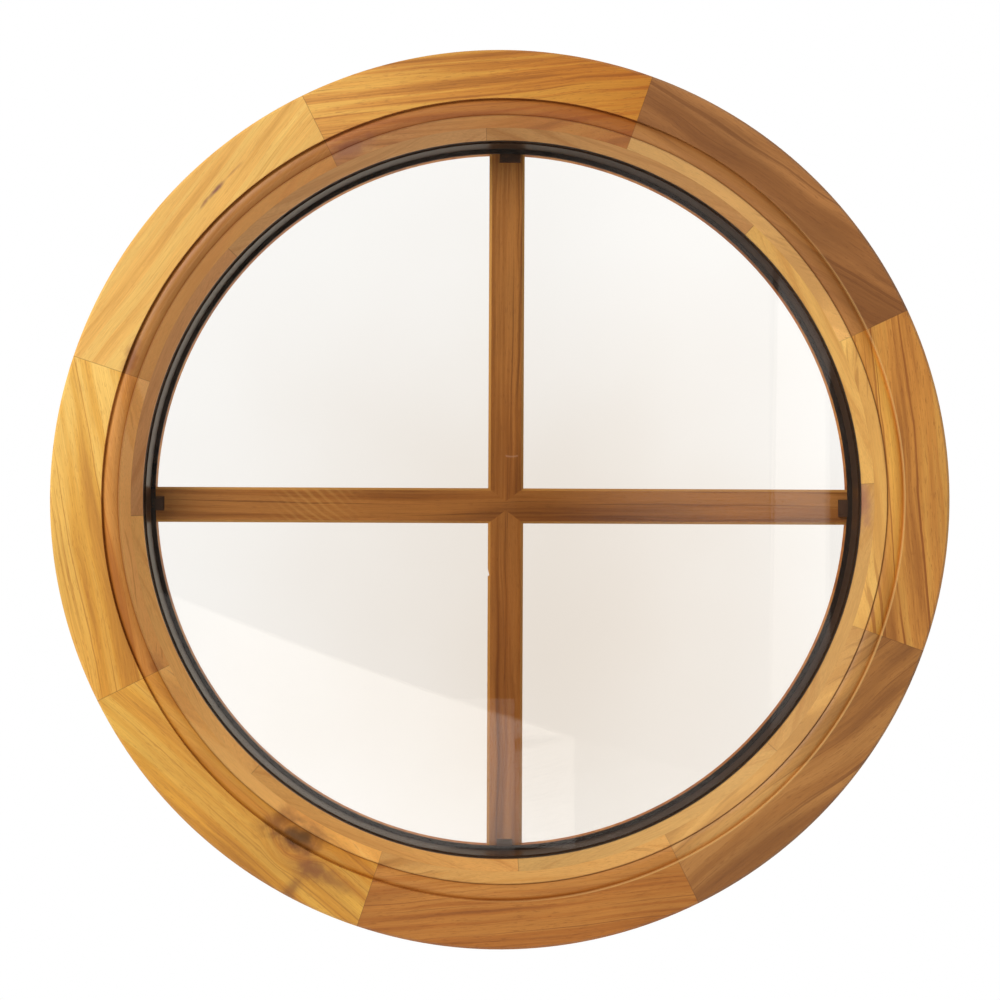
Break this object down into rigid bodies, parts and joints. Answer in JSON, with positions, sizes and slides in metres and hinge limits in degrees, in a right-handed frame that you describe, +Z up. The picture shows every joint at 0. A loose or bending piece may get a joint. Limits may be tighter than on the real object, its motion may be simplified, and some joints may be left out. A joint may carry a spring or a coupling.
{
  "type": "round window",
  "caption": "Fixed round four-light window: laminated hardwood ring frame with a turned moulding, sealed double glazing and a cross of bars behind the glass.",
  "frame": {"origin": "centre of the frame's box: on the axis of the round rim, halfway through its depth", "axes": "+Z up, -Y out of the front face, +X to the right seen from the front"},
  "size_m": [0.6, 0.066, 0.6],
  "materials": {
    "wood_orange": "clear satin lacquer on orange-brown hardwood",
    "wood_brown": "clear satin lacquer on brown figured hardwood",
    "wood_amber": "clear satin lacquer on amber hardwood with dark streaks",
    "wood_yellow": "clear satin lacquer on golden yellow hardwood",
    "wood_bar": "clear satin lacquer on brown hardwood",
    "clear_glass": "clear float glass",
    "spacer_foam": "satin black foam spacer",
    "glazing_tape": "black bedding tape",
    "packer_plastic": "moulded plastic",
    "pad_rubber": "dark brown pad"
  },
  "bodies": {
    "root": {"front_segment_1": "wood_orange", "front_segment_2": "wood_brown", "front_segment_3": "wood_amber", "front_segment_4": "wood_brown", "front_segment_5": "wood_orange", "front_segment_6": "wood_yellow", "front_segment_7": "wood_yellow", "front_segment_8": "wood_yellow", "rear_segment_1": "wood_orange", "rear_segment_2": "wood_amber", "rear_segment_3": "wood_amber", "rear_segment_4": "wood_amber", "rear_segment_5": "wood_orange", "rear_segment_6": "wood_orange", "rear_segment_7": "wood_brown", "rear_segment_8": "wood_brown", "front_pane": "clear_glass", "rear_pane": "clear_glass", "spacer_bar": "spacer_foam", "front_tape": "glazing_tape", "rear_tape": "glazing_tape", "setting_block_left": "packer_plastic", "setting_block_right": "packer_plastic", "location_block_left": "packer_plastic", "location_block_right": "packer_plastic", "cross_bar": "wood_bar", "upper_bar": "wood_bar", "lower_bar": "wood_bar", "bar_pad_right": "pad_rubber", "bar_pad_top": "pad_rubber", "bar_pad_left": "pad_rubber", "bar_pad_bottom": "pad_rubber", "glazing_bead_upper_right": "wood_amber", "glazing_bead_upper_left": "wood_amber", "glazing_bead_lower_left": "wood_amber", "glazing_bead_lower_right": "wood_amber"}
  },
  "joints": []
}
